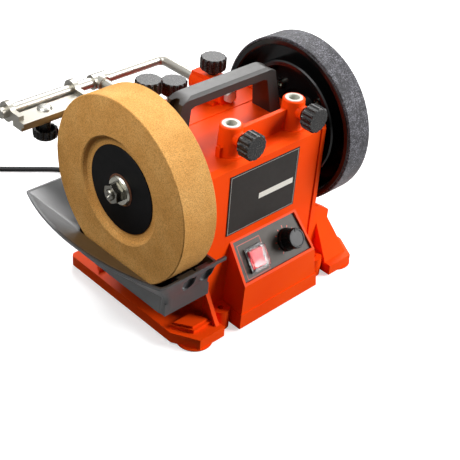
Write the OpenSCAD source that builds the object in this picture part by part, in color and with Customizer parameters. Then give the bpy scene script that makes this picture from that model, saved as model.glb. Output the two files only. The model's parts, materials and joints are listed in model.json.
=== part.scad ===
// Wet stone grinder: a slow stone dipping in a water tray on the left, a leather honing wheel on the right,
// and a tool support that slides into sleeves on top of the housing.
// X runs along the spindle, the controls face -Y and Z is up. The origin is on the floor, under the spindle,
// in the middle of the four bench holes.

/* [Stone] */
// Diameter of the grinding stone
stone_d = 200; // [196:1:202]
// Width of the grinding stone
stone_w = 42; // [39:1:43]
// Diameter of the dished recess in each face of the stone
stone_dish_d = 117; // [110:1:124]
// Depth of the dished recess
stone_dish_h = 6; // [5:0.5:8]
// Diameter of the plain dark disc in the recess
disc_d = 95; // [88:1:98]
// Distance from the middle of the base to the stone's outer face
stone_reach = 155; // [154:0.5:156]
// Height of the spindle above the floor
axle_h = 165; // [164:0.5:166]

/* [Honing wheel] */
// Diameter over the leather
wheel_d = 191; // [186:1:192]
// Width of the honing wheel
wheel_w = 34; // [32:1:36]
// Distance from the middle of the base to the wheel's inner face
wheel_reach = 86; // [86:0.5:88]
// Thickness of the leather strop
leather_t = 2.5; // [2:0.25:3]

/* [Housing] */
// Distance from the middle of the base to the housing's left wall
house_left = 94; // [93:0.5:94]
// Distance from the middle of the base to the joint with the right cover
house_right = 67; // [66:0.5:67]
// Distance from the spindle to the front and to the rear wall
house_half = 69; // [68:0.5:69.5]
// Height of the top deck
deck_h = 194; // [193:0.5:195]
// Wall thickness of the housing
wall = 4; // [3.5:0.25:4.5]
// Thickness of the right cover
cover_t = 9; // [8.5:0.25:9]

/* [Control box] */
// Left edge of the control desk's lip
box_left = 61.5; // [61:0.5:62.5]
// Right edge of the control desk's lip
box_right = 47.5; // [46.5:0.5:48]
// Distance from the spindle to the front of the control box
box_front = 98; // [97:0.5:98]
// Slope of the control desk from level
desk_slope = 55; // [53:0.5:57]
// Height of the rocker switch's opening along the slope
rocker_l = 21.4; // [20.5:0.1:22]
// Diameter of the speed dial's skirt
dial_d = 26; // [23:0.5:26]

/* [Base] */
// Length of the base along the spindle
base_l = 272; // [270:1:276]
// Distance from the spindle to the front edge of the base
base_front = 96; // [95:0.5:97]
// Distance from the spindle to the rear edge of the base
base_back = 108; // [107:0.5:110]
// Height of the flange's top
flange_h = 15; // [14:0.5:16]
// Spacing of the bench holes along the spindle
hole_pitch_x = 148; // [146:0.5:150]
// Spacing of the bench holes across the spindle
hole_pitch_y = 154; // [154:0.5:156]
// Diameter of the bench holes
hole_d = 6.6; // [5.5:0.1:7]

/* [Sleeves and support] */
// Diameter of the round support bar
bar_d = 12; // [11.8:0.1:12]
// Radial play of the bar in its bushes
bar_play = 0.05; // [0.03:0.01:0.08]
// Distance between the two legs of the support
leg_pitch = 91; // [90:0.5:92]
// Outer diameter of the white bushes
bush_d = 19; // [18:0.5:19.5]
// Height of the front bosses' tops
boss_top = 227; // [226:0.5:229]
// Height of the rear sleeves' axes
sleeve_h = 205; // [204:0.5:206]
// Distance from the spindle to the support's cross bar
bar_reach = 138; // [136:0.5:140]
// Distance from the middle of the base to the cross bar's free end
bar_end = 197; // [196:0.5:199]

/* [Carry handle] */
// Height of the handle's top
handle_top = 248; // [246:0.5:250]
// Width of the handle's grip
handle_w = 22; // [20:0.5:24]
// Thickness of the handle's grip
grip_t = 12; // [11:0.5:13]

/* [Water tray] */
// Height of the tray's rim
rim_h = 105; // [104:0.5:106]
// Height at which the sloping lip meets the well
well_h = 85; // [84:0.5:86]
// Height of the tray's underside
tray_bottom = 58.5; // [58:0.25:59]
// How far the rim bulges out past its ends
rim_bulge = 19; // [17:0.5:20]
// Wall thickness of the tray
tray_t = 2.4; // [2.2:0.1:2.6]

/* [Knobs] */
// Diameter of the clamp knobs
knob_d = 29; // [27:0.5:30]
// Height of the clamp knobs
knob_h = 19.5; // [19:0.5:20.5]
// Number of flutes round a clamp knob
knob_flutes = 14; // [12:1:16]
// Diameter of the clamp studs
stud_d = 8; // [7:0.5:8]

/* [Mains lead] */
// Diameter of the lead
cord_d = 6.5; // [6.2:0.1:6.6]
// Clear gap between the turns of the coil
coil_gap = 0.6; // [0.5:0.05:0.8]
// Smallest radius of the coil's turns
coil_r = 26.5; // [26:0.5:28]

/* [Hidden] */
$fn = 64;
eps = 0.01;
far = 400;
fit = 0.05;

// Stone and its clamp, measured along the spindle
stone_x0 = -stone_reach;
stone_x1 = stone_x0 + stone_w;
dish_r = stone_dish_d / 2;
dish_floor_r = dish_r - 6.5;
dish_x = stone_x0 + stone_dish_h;
back_dish_x = stone_x1 - 4;
disc_t = 1.2;
fibre_t = 0.8;
washer_t = 2.6;
nut_t = 10;
nut_x = dish_x - disc_t - fibre_t - washer_t;
shaft_r = 6;
journal_r = 8;
shaft_end_x = nut_x - nut_t - 2.5;
stone_flange_x1 = back_dish_x + 8;
m12_flats = 19;

// Honing wheel and its drive
wheel_x0 = wheel_reach;
wheel_x1 = wheel_x0 + wheel_w;
wheel_r = wheel_d / 2 - leather_t;
wheel_rim_t = 9;
web_x0 = wheel_x1 - 8;
web_x1 = web_x0 + 5;
hub_r = 20;
hub_x0 = wheel_x0 + 14;
ring_r = 68.5;
ring_t = 6.5;
ring_flange_t = 4;
ring_x0 = wheel_x0 + 2;
ring_screw_r = 40;
ring_screw_count = 4;
screw_head_h = 5;
motor_y = 28;
motor_z = axle_h - 34;
motor_offset = sqrt(motor_y * motor_y + pow(axle_h - motor_z, 2));
roller_gap = 0.35;
roller_r = ring_r - ring_t - motor_offset - roller_gap;
roller_x0 = wheel_x0 + 2.5;
roller_x1 = web_x0 - ring_flange_t - screw_head_h - 1;
motor_r = 30;
motor_x0 = -30;
motor_x1 = 58;
motor_nose_r = 10;
motor_shaft_r = 4;
bracket_t = 3;
bracket_y = [6, 50];

// Housing and cover
seam_h = 21;
deck_under = deck_h - wall;
cover_x0 = house_right;
cover_x1 = house_right + cover_t;
cover_lip = 1.5;
bearing_r = 16;
bearing_w = 10;
bearing_boss_r = 20;
cover_boss_x1 = cover_x1 + 4;
left_bearing_x = -house_left + 1;
right_bearing_x = cover_x0;
front_bevel = [6, 4];
cover_screw_y = house_half - 11;
cover_screw_z = [102, deck_h - 16];

// Control desk: the panel's own frame has x along the spindle, y up the slope and z out of the desk
lip_h = 58;
desk_top_z = 100;
desk_top_y = -box_front + (desk_top_z - lip_h) / tan(desk_slope);
desk_l = (desk_top_z - lip_h) / sin(desk_slope);
desk_lip = 3;
panel_drop = 2.5;
panel_t = 2;
panel_z = -panel_drop - panel_t;
box_draft_left = 0.04;
box_draft_right = 0.18;
switch_at = [-33, -29];
switch_hole = [22, 25];
bezel_size = [25, 27.5];
rocker_w = 18.4;
rocker_play = 0.9;
rocker_tilt = 9;
rocker_axis_z = -3;
pin_r = 1.2;
pin_l = 20.4;
cover_size = [23.6, 26];
cover_wall = 1.2;
cover_h = 7;
dial_at = [15.5, -27];
dial_h = 16;
dial_flutes = 24;
dial_shaft_r = 3;
pot_r = 8;
pot_h = 9;

// Front bosses, rear sleeves and the tension boss
bar_r = bar_d / 2;
bush_bore_r = bar_r + bar_play;
bush_r = bush_d / 2;
boss_r = 12;
boss_foot_r = 13.5;
boss_y = -46;
boss_x = [-48, -48 + leg_pitch];
pad_front = -63;
collar_r = 7.5;
front_knob_z = boss_top - 11.5;
sleeve_x = [-71, -71 + leg_pitch];
sleeve_r = 13;
sleeve_y = [28, 78];
sleeve_wall = 8;
sleeve_foot_half = 18;
sleeve_foot_y = 32.5;
sleeve_foot_h = deck_h + 5;
rear_knob_y = 54;
pad_rear_h = sleeve_h + 12.5;
pad_front_h = sleeve_h + 17;
pad_half = 9;
pad_top = sleeve_h + 15.5;
bush_y0 = sleeve_y[0] + sleeve_wall + 4;
platform_y = 18;
tension_at = [-40, 50];
tension_top = 206;
tension_gap = 7;
stud_r = stud_d / 2;
stud_in_knob = 12;
stud_clear = 1.2;
flute_r = 2.4;
flute_h = 1.9;
knob_edge = 1.4;
knob_gap = 0.4;
rear_knob_gap = 1.1;

// Carry handle, along the spindle
handle_mid = -16.5;
handle_foot_half = 77;
handle_shoulder_half = 66;
handle_crown_half = 52.5;
handle_shoulder_h = handle_top - 6;
handle_leg_t = 14;
handle_foot_t = handle_leg_t + 2;
handle_foot_w = handle_w + 6;
pocket_r = 7.5;
pocket_t = 8;
pocket_h = handle_shoulder_h - 5.5;
handle_screw_x = [handle_mid - 68, handle_mid + 68];

// Base
base_half = base_l / 2;
base_bottom = 2;
foot_r = 12;
foot_h = 6;
foot_pad_r = 20;
foot_pad_z = 0.6;
foot_at = [[-112, -78], [112, -78], [-112, 86], [112, 86]];
lug_r = 10;
lug_h = 24;
rib_x = [-92.5, -87.5];
plinth_h = 58;

// Water tray
rim_y = [-90, 132];
rim_x = -174.5;
rim_mid_y = 26;
rim_chord = 106;
rim_arc_r = (rim_chord * rim_chord + rim_bulge * rim_bulge) / (2 * rim_bulge);
rim_corner_r = 12;
tray_inner_x = -97.5;
well_x = -stone_reach - 5.5;
well_y = [-84, 66];
well_floor_x = -stone_reach - 4;
well_floor_y = [-80, 62];
well_corner_r = 9;
tray_foot_h = 15;
guide_y = 40;
guide_w = 6;
hollow_x = [-133, -109];
hollow_r = 8.5;
hollow_t = 2;
hollow_y = well_y[0] + 2.4;
hollow_z = rim_h - 13.5;
hollow_top = rim_h - 6.5;

// Support bar and straight-edge jig
bend_r = 9;
leg_end = 37;
tee_r = 8.5;
tee_l = 20;
jig_x = [-190, -103];
jig_cheek_t = 6;
jig_cheek_r = 11;
jig_plate_y = [106, 129];
jig_plate_z = [199.5, 204.5];
jig_clamp_z = [192, 198];
jig_screw_x = (jig_x[0] + jig_x[1]) / 2 - 7.5;
jig_screw_y = 121;
jig_screw_r = 3;
jig_knob_z = [171, 181.5];
jig_knob_d = 27;

// Mains lead: the free stretch runs from the strain relief down to the floor and away behind the stone
gland_z = 40;
gland_tip_y = 104;
cord_r = cord_d / 2;
cord_sides = 10;
coil_lift = 1.5;
coil_z = coil_lift + cord_r;
cord_route = [
    [0, gland_tip_y, gland_z], [0, 112, gland_z], [0, 125, 39], [-1, 138, 34], [-2, 150, 27], [-3, 162, 19],
    [-4, 175, 11.5], [-5, 190, 6], [-6, 206, 3.6], [-7, 222, 3.3], [-9, 238, 3.3], [-14, 254, 3.3],
    [-21, 268, 3.3], [-31, 280, 3.3], [-44, 291, 3.3], [-59, 302.5, 3.3], [-75, 315, 3.3], [-91, 327.5, 3.3],
    [-107, 340, 3.6], [-121, 351, 4.4], [-130, 358, coil_z], [-139, 365, coil_z]
];

// Sides of the control box at a given height: they spread towards the floor
function box_edge_left(z) = -box_left - box_draft_left * (lip_h - z);
function box_edge_right(z) = box_right + box_draft_right * (lip_h - z);

// The coil winds in on the floor, climbs while it reverses, and winds out on top
coil_steps = 24;
coil_pitch = cord_d + coil_gap;
coil_turns_in = 3.25;
coil_turns = 6.375;
coil_start = cord_route[len(cord_route) - 1];
coil_heading = atan2(7, -9);
coil_angle = coil_heading - 90;
coil_start_r = coil_r + coil_pitch * coil_turns_in;
coil_run = [for (k = [0:1]) cord_d * (k == 0 ? cos(coil_heading) : sin(coil_heading))];
coil_mid = [
    coil_start[0] + coil_run[0] - coil_start_r * cos(coil_angle),
    coil_start[1] + coil_run[1] - coil_start_r * sin(coil_angle)
];
coil_count = coil_turns * coil_steps;

function smooth(t) = let (c = min(1, max(0, t))) c * c * (3 - 2 * c);
function coil_radius(t) = coil_r + coil_pitch * abs(t - coil_turns_in);
function coil_height(t) = coil_z + coil_pitch * smooth((t - coil_turns_in + 0.25) / 0.5);
function coil_point(i) =
    let (t = i / coil_steps, a = coil_angle + 360 * t, r = coil_radius(t))
    [coil_mid[0] + r * cos(a), coil_mid[1] + r * sin(a), coil_height(t)];

coil_end_angle = coil_angle + 360 * coil_turns;
plug_heading = coil_end_angle + 90;
coil_last = coil_point(coil_count);
coil_tail = [for (k = [1:2]) coil_last + k * cord_d * [cos(plug_heading), sin(plug_heading), 0]];
coil_path = concat([coil_start], [for (i = [0:coil_count]) coil_point(i)], coil_tail);
plug_at = coil_path[len(coil_path) - 1];
tie_angle = 300;

// Least gap of the coil to itself, on the points of its middle line at least three quarters of a turn apart
function coil_self_gap() =
    min([
        for (i = [0:coil_count]) for (j = [i + 18:1:coil_count]) norm(coil_point(i) - coil_point(j))
    ]) - cord_d;
function path_length(p) = len(p) < 2 ? 0 : norm(p[1] - p[0]) + path_length([for (i = [1:len(p) - 1]) p[i]]);

union() {
    echo(coil_least_gap_mm = coil_self_gap());
    echo(cord_length_mm = path_length(cord_route) + path_length(coil_path));
}

// Plain shapes placed by their limits

module block(x0, x1, y0, y1, z0, z1) {
    translate([x0, y0, z0]) cube([x1 - x0, y1 - y0, z1 - z0]);
}

module rod_x(r, x0, x1, y = 0, z = axle_h) {
    translate([x0, y, z]) rotate([0, 90, 0]) cylinder(r = r, h = x1 - x0);
}

module rod_y(r, y0, y1, x, z) {
    translate([x, y1, z]) rotate([90, 0, 0]) cylinder(r = r, h = y1 - y0);
}

module rod_z(r, z0, z1, x, y) {
    translate([x, y, z0]) cylinder(r = r, h = z1 - z0);
}

// A solid of revolution about the spindle, from points given as radius and place along X
module turned(points) {
    translate([0, 0, axle_h]) rotate([0, 90, 0]) rotate_extrude($fn = 96) polygon(points);
}

// An outline in Y and Z drawn out along X
module side_profile(x0, x1) {
    translate([x0, 0, 0]) rotate([90, 0, 90]) linear_extrude(x1 - x0) children();
}

// An outline in X and Z drawn out along Y
module front_profile(y0, y1) {
    translate([0, y1, 0]) rotate([90, 0, 0]) linear_extrude(y1 - y0) children();
}

module rounded_square(size, r) {
    square([size[0] - 2 * r, size[1]], center = true);
    square([size[0], size[1] - 2 * r], center = true);
    for (sx = [-1, 1], sy = [-1, 1]) {
        translate([sx * (size[0] / 2 - r), sy * (size[1] / 2 - r)]) circle(r = r);
    }
}

// A hexagon with its corners turned off, lying along X
module hex_x(flats, x0, x1, y, z) {
    corner_r = flats / 2 / cos(30);
    chamfer = corner_r - flats / 2 + 0.3;
    translate([x0, y, z]) rotate([0, 90, 0]) intersection() {
        cylinder(r = corner_r, h = x1 - x0, $fn = 6);
        rotate_extrude() polygon([
            [0, 0], [corner_r - chamfer, 0], [corner_r, chamfer / 2],
            [corner_r, x1 - x0 - chamfer / 2], [corner_r - chamfer, x1 - x0], [0, x1 - x0]
        ]);
    }
}

module on_desk() {
    translate([0, desk_top_y, desk_top_z]) rotate([desk_slope, 0, 0]) children();
}

// A tube of a given number of sides swept through points on its middle line
function unit(v) = v / norm(v);
function path_heading(p, i) = unit(p[min(i + 1, len(p) - 1)] - p[max(i - 1, 0)]);
function ring_points(p, i, r, sides) =
    let (
        ahead = i == len(p) - 1 ? unit(p[i] - p[i - 1]) : i == 0 ? unit(p[1] - p[0]) : path_heading(p, i),
        side = unit(cross(ahead, [0, 0, 1])),
        up = cross(side, ahead)
    )
    [for (k = [0:sides - 1]) let (a = 360 * (k + 0.5) / sides) p[i] + r * (cos(a) * side + sin(a) * up)];

module swept_tube(p, r, sides) {
    last = len(p) - 1;
    points = [for (i = [0:last]) each ring_points(p, i, r, sides)];
    walls = [
        for (i = [0:last - 1], k = [0:sides - 1])
            let (a = i * sides + k, b = i * sides + (k + 1) % sides)
            each [[a, b, a + sides], [b, b + sides, a + sides]]
    ];
    caps = [
        for (k = [1:sides - 2])
            each [[0, k + 1, k], [last * sides, last * sides + k, last * sides + k + 1]]
    ];
    polyhedron(points = points, faces = [for (f = concat(walls, caps)) [f[2], f[1], f[0]]]);
}

// Base

module base_outline() {
    polygon([
        [-base_half, -67], [-base_half + 16, -base_front], [-85, -base_front], [-85, -80],
        [84, -80], [84, -base_front], [base_half - 16, -base_front], [base_half, -67],
        [base_half, base_back - 4], [base_half - 4, base_back],
        [-base_half + 4, base_back], [-base_half, base_back - 4]
    ]);
}

// Raised pad over a left-hand foot, on the front side; the rear one is its mirror image
module foot_block() {
    front_cut = 3;
    translate([0, 0, flange_h - eps]) linear_extrude(4) {
        polygon([[-131, -60], [-100, -60], [-93, -83], [-118, -83]]);
    }
    translate([0, 0, flange_h + 4 - 2 * eps]) linear_extrude(3) {
        polygon([[-128, -62], [-102, -62], [-96, -83 + front_cut], [-117, -83 + front_cut]]);
    }
}

// Triangular rib between the flange and the front of the housing
module left_rib() {
    side_profile(rib_x[0], rib_x[1]) {
        polygon([[-house_half, 52], [-house_half, flange_h - eps], [-house_half - 21, flange_h - eps]]);
    }
}

// Corner pillar beside the right cover, with a sloping buttress that spreads on to the flange
module right_buttress() {
    front_profile(-67, -57) polygon([
        [cover_x1, flange_h - eps], [103, flange_h - eps], [103, 72], [cover_x1 + 8, 85], [cover_x1, 85]
    ]);
    intersection() {
        front_profile(-100, -60) polygon([[85, 14], [121, 14], [103, 61], [84, 61]]);
        side_profile(cover_x1, base_half) polygon([
            [-87, flange_h - eps], [-67, 61], [-60, 61], [-60, flange_h - eps]
        ]);
    }
}

module bench_lugs() {
    for (sx = [-1, 1], sy = [-1, 1]) {
        x = sx * hole_pitch_x / 2;
        y = sy * hole_pitch_y / 2;
        rod_z(lug_r, 0, lug_h, x, y);
        block(x - lug_r, x + lug_r, min(y, sy * house_half), max(y, sy * house_half), 0, lug_h);
    }
}

module base_plate() color("orangered") difference() {
    union() {
        translate([0, 0, base_bottom]) linear_extrude(flange_h - base_bottom) base_outline();
        block(-house_left, cover_x1, -house_half, house_half, flange_h - eps, seam_h);
        front_profile(-box_front - 1, -house_half + eps) polygon([
            [box_edge_left(base_bottom) - 1, base_bottom], [box_edge_left(seam_h) - 1, seam_h],
            [box_edge_right(seam_h) + 1, seam_h], [box_edge_right(base_bottom) + 1, base_bottom]
        ]);
        for (m = [0, 1]) mirror([0, m, 0]) {
            foot_block();
            left_rib();
            right_buttress();
        }
        bench_lugs();
        for (p = foot_at) rod_z(foot_pad_r, foot_pad_z, base_bottom + eps, p[0], p[1]);
        block(cover_x1, 103, -60, 60, flange_h - eps, plinth_h);
    }
    for (sx = [-1, 1], sy = [-1, 1]) {
        rod_z(hole_d / 2, -1, lug_h + 1, sx * hole_pitch_x / 2, sy * hole_pitch_y / 2);
    }
    for (p = foot_at) rod_z(foot_r + fit, 0, foot_h, p[0], p[1]);
    block(-house_left, cover_x0, -house_half, house_half, seam_h, far);
    block(cover_x0, cover_x1, -house_half - cover_lip, house_half + cover_lip, seam_h, far);
}

module rubber_feet() color("dimgray") {
    for (p = foot_at) {
        translate([p[0], p[1], 0]) rotate_extrude() {
            polygon([[0, 0], [foot_r - 2, 0], [foot_r, 1.5], [foot_r, foot_h], [0, foot_h]]);
        }
    }
}

// Housing

module housing_outline(inset) {
    polygon([
        [-house_half + inset, seam_h - (inset > 0 ? 1 : 0)],
        [-house_half + inset, deck_h - front_bevel[1] - inset],
        [-house_half + front_bevel[0] + inset, deck_h - inset],
        [house_half - front_bevel[0] - inset, deck_h - inset],
        [house_half - inset, deck_h - front_bevel[1] - inset],
        [house_half - inset, seam_h - (inset > 0 ? 1 : 0)]
    ]);
}

// The desk's sloping face in its own frame, drawn in by an inset on all sides
module desk_outline(inset) {
    polygon([
        [-box_left + inset, -desk_l + inset], [box_right - inset, -desk_l + inset],
        [box_edge_right(desk_top_z) - inset, -inset], [box_edge_left(desk_top_z) + inset, -inset]
    ]);
}

module control_box() {
    intersection() {
        side_profile(-far, far) polygon([
            [-house_half + 1, seam_h], [-box_front, seam_h], [-box_front, lip_h],
            [desk_top_y, desk_top_z], [-house_half + 1, desk_top_z]
        ]);
        front_profile(-far, far) polygon([
            [box_edge_left(seam_h), seam_h], [box_edge_left(desk_top_z), desk_top_z],
            [box_edge_right(desk_top_z), desk_top_z], [box_edge_right(seam_h), seam_h]
        ]);
    }
}

// Vertical boss on the deck with a round collar in front for its clamp knob
module front_boss(x) {
    translate([x, boss_y, 0]) rotate_extrude() polygon([
        [0, deck_h - 2], [boss_foot_r + 0.8, deck_h - 2], [boss_foot_r + 0.8, deck_h + 0.8],
        [boss_foot_r, deck_h + 2], [boss_r, boss_top - 1], [boss_r - 1, boss_top], [0, boss_top]
    ]);
    rod_y(collar_r, pad_front, boss_y, x, front_knob_z);
    for (s = [-1, 1]) {
        rib_mid = x + s * (boss_foot_r + 1);
        block(rib_mid - 2, rib_mid + 2, boss_y - 3, boss_y + 3, deck_h - 1, deck_h + 11);
    }
}

// Level sleeve on the deck, along Y, with a flat pad on top for its clamp knob
module rear_sleeve(x) {
    rod_y(sleeve_r, sleeve_y[0], sleeve_y[1], x, sleeve_h);
    block(x - sleeve_foot_half, x + sleeve_foot_half, sleeve_foot_y, house_half, deck_h - 1, sleeve_foot_h);
    side_profile(x - pad_half, x + pad_half) polygon([
        [sleeve_y[0] + 8, sleeve_h], [sleeve_y[0] + 8, pad_front_h],
        [sleeve_y[1], pad_rear_h], [sleeve_y[1], sleeve_h]
    ]);
}

module boss_web() {
    front_profile(boss_y - 2.5, boss_y + 2.5) polygon([
        [boss_x[0], deck_h - 1], [boss_x[0], boss_top - 9], [boss_x[1], boss_top - 9], [boss_x[1], deck_h - 1]
    ]);
}

module cover_posts() {
    for (sy = [-1, 1], z = cover_screw_z) {
        rod_x(7, 42, house_right, sy * cover_screw_y, z);
        post_y = [sy * cover_screw_y, sy * house_half];
        block(42, house_right, min(post_y), max(post_y), z - 7, z + 7);
    }
}

module housing() color("orangered") difference() {
    union() {
        difference() {
            union() {
                side_profile(-house_left, house_right) housing_outline(0);
                control_box();
            }
            side_profile(-house_left + wall, house_right + 1) housing_outline(wall);
            on_desk() {
                translate([0, 0, panel_z]) linear_extrude(5 - panel_z) desk_outline(desk_lip);
                translate([0, 0, -40]) linear_extrude(40) desk_outline(2 * desk_lip);
            }
        }
        intersection() {
            cover_posts();
            side_profile(-far, far) housing_outline(0);
        }
        rod_x(bearing_boss_r, -house_left, left_bearing_x + bearing_w + 2);
        platform_back = house_half - front_bevel[0] - 1;
        block(-house_left + 4, house_right - 5, platform_y, platform_back, deck_h - 1, deck_h + 0.8);
        for (x = boss_x) front_boss(x);
        boss_web();
        for (x = sleeve_x) rear_sleeve(x);
        rod_z(10, deck_h - 2, tension_top, tension_at[0], tension_at[1]);
        for (s = [-1, 1]) {
            y = s * guide_y;
            block(-house_left - 3, -house_left + 1, y - guide_w / 2, y + guide_w / 2, 26, rim_h + 4);
        }
    }
    rod_x(bearing_r + fit, -house_left - 1, left_bearing_x + bearing_w);
    rod_x(bearing_r - 4, -house_left - 1, left_bearing_x + bearing_w + 5);
    for (x = boss_x) {
        rod_z(bush_r + fit, deck_under - 1, boss_top + 1, x, boss_y);
        rod_y(stud_r + fit, pad_front - 1, boss_y, x, front_knob_z);
    }
    for (x = sleeve_x) {
        rod_y(bush_r + fit, sleeve_y[0] + sleeve_wall, sleeve_y[1] + 1, x, sleeve_h);
        rod_y(stud_r + fit, sleeve_y[0] - 1, sleeve_y[0] + sleeve_wall + 1, x, sleeve_h);
        rod_z(stud_r + fit, sleeve_h, pad_front_h + 1, x, rear_knob_y);
    }
    rod_z(stud_r + fit, deck_under - 1, tension_top + 1, tension_at[0], tension_at[1]);
    for (x = handle_screw_x) rod_z(3.2, deck_under - 1, deck_h + 1, x, 0);
    for (sy = [-1, 1], z = cover_screw_z) rod_x(2, 50, house_right + 1, sy * cover_screw_y, z);
    rod_y(6 + fit, house_half - wall - 1, house_half + 1, 0, gland_z);
}

module right_cover() color("orangered") difference() {
    union() {
        intersection() {
            side_profile(cover_x0, cover_x1) polygon([
                [-house_half - cover_lip, seam_h],
                [-house_half - cover_lip, deck_h - front_bevel[1] + cover_lip],
                [-house_half + front_bevel[0], deck_h + cover_lip],
                [house_half - front_bevel[0], deck_h + cover_lip],
                [house_half + cover_lip, deck_h - front_bevel[1] + cover_lip],
                [house_half + cover_lip, seam_h]
            ]);
            linear_extrude(far) polygon([
                [cover_x0, -house_half - cover_lip], [cover_x1 - 3, -house_half - cover_lip],
                [cover_x1, -house_half + 2], [cover_x1, house_half - 2],
                [cover_x1 - 3, house_half + cover_lip], [cover_x0, house_half + cover_lip]
            ]);
        }
        rod_x(bearing_boss_r, cover_x1 - 1, cover_boss_x1);
    }
    rod_x(bearing_r + fit, cover_x0 - 1, right_bearing_x + bearing_w);
    rod_x(journal_r + 1.5, cover_x0, cover_boss_x1 + 1);
    rod_x(motor_nose_r + 0.5, cover_x0 - 1, cover_x1 + 1, motor_y, motor_z);
    for (sy = [-1, 1], z = cover_screw_z) rod_x(2.2, cover_x0 - 1, cover_x1 + 1, sy * cover_screw_y, z);
}

module cover_screws() color("silver") {
    for (sy = [-1, 1], z = cover_screw_z) difference() {
        union() {
            rod_x(1.95, cover_x0 - 14, cover_x1, sy * cover_screw_y, z);
            rod_x(4, cover_x1, cover_x1 + 2.4, sy * cover_screw_y, z);
        }
        y = sy * cover_screw_y;
        block(cover_x1 + 1.2, cover_x1 + 3, y - 2.6, y + 2.6, z - 0.5, z + 0.5);
        block(cover_x1 + 1.2, cover_x1 + 3, y - 0.5, y + 0.5, z - 2.6, z + 2.6);
    }
}

module spindle_bearings() color("gray") {
    for (x = [left_bearing_x, right_bearing_x]) {
        turned([
            [journal_r + 0.03, x], [bearing_r - 1, x], [bearing_r, x + 1],
            [bearing_r, x + bearing_w - 1], [bearing_r - 1, x + bearing_w], [journal_r + 0.03, x + bearing_w]
        ]);
    }
}

// Controls

module control_panel() color("dimgray") on_desk() difference() {
    translate([0, 0, panel_z]) linear_extrude(panel_t) desk_outline(desk_lip + fit);
    translate([switch_at[0], switch_at[1], panel_z - 1]) linear_extrude(panel_t + 2) {
        square(switch_hole, center = true);
    }
    translate([dial_at[0], dial_at[1], panel_z - 1]) cylinder(r = dial_shaft_r + 0.5, h = panel_t + 2);
}

module switch_bezel() color("black") on_desk() translate([switch_at[0], switch_at[1], 0]) difference() {
    union() {
        translate([0, 0, -panel_drop]) linear_extrude(2.2) rounded_square(bezel_size, 1.5);
        translate([0, 0, -22]) linear_extrude(22 - panel_drop + eps) square([21.6, 24.6], center = true);
    }
    translate([0, 0, -11]) linear_extrude(20) square([rocker_w, rocker_l], center = true);
    translate([0, 0, rocker_axis_z]) rotate([0, 90, 0]) {
        cylinder(r = pin_r + fit, h = pin_l + 2 * fit, center = true);
    }
}

module rocker() color("red") on_desk() translate([switch_at[0], switch_at[1], rocker_axis_z]) {
    half = rocker_l / 2 - rocker_play;
    width = rocker_w - 0.8;
    rotate([0, 90, 0]) cylinder(r = pin_r, h = pin_l, center = true);
    rotate([rocker_tilt, 0, 0]) translate([-width / 2, 0, 0]) rotate([90, 0, 90]) linear_extrude(width) {
        polygon([
            [-half, 4.2], [-half + 1, 4.8], [0, 2.4], [half - 1, 4.8], [half, 4.2],
            [half, 0], [6, -5], [-6, -5], [-half, 0]
        ]);
    }
}

module switch_cover() color("white", 0.35) on_desk() {
    translate([switch_at[0], switch_at[1], -0.3]) difference() {
        union() {
            linear_extrude(cover_h - 1.5) rounded_square(cover_size, 3);
            linear_extrude(cover_h) rounded_square(cover_size - [3, 3], 2.5);
        }
        translate([0, 0, -1]) linear_extrude(cover_h - cover_wall + 1) {
            rounded_square(cover_size - 2 * [cover_wall, cover_wall], 2);
        }
    }
}

module speed_dial() color("black") on_desk() translate([dial_at[0], dial_at[1], 0]) {
    skirt_z = -panel_drop + 0.3;
    grip_r = dial_d / 2 - 1.7;
    difference() {
        union() {
            translate([0, 0, skirt_z]) rotate_extrude() polygon([
                [0, 0], [dial_d / 2, 0], [dial_d / 2, 2], [grip_r + 0.5, 4], [grip_r, dial_h - 1 - skirt_z],
                [grip_r - 1, dial_h - skirt_z], [grip_r - 2, dial_h - skirt_z],
                [grip_r - 2.6, dial_h - 0.6 - skirt_z],
                [0, dial_h - 0.6 - skirt_z]
            ]);
            translate([0, 0, panel_z - pot_h + 1]) cylinder(r = dial_shaft_r, h = skirt_z - panel_z + pot_h);
        }
        for (i = [0:dial_flutes - 1]) rotate([0, 0, i * 360 / dial_flutes]) {
            translate([grip_r + 0.5, 0, 2.4]) cylinder(r = 0.9, h = dial_h);
        }
        translate([0, grip_r - 1.6, dial_h + 0.2]) cube([1.4, 6, 2.6], center = true);
    }
}

module speed_controller() color("seagreen") on_desk() {
    board_z = panel_z - pot_h - 1.6;
    difference() {
        translate([dial_at[0], dial_at[1], panel_z - pot_h]) cylinder(r = pot_r, h = pot_h);
        translate([dial_at[0], dial_at[1], panel_z - pot_h + 0.5]) cylinder(r = dial_shaft_r + fit, h = pot_h);
    }
    block(-14, 32, -42, -11, board_z, board_z + 1.6 + eps);
    block(-8, 14, -38, -16, board_z - 12, board_z + eps);
    translate([24, -30, board_z - 14]) cylinder(r = 6, h = 14 + eps);
}

module rating_plate() color("dimgray") {
    block(-67, 34, -house_half - 0.8, -house_half, 109.5, 182);
}

// Carry handle

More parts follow.
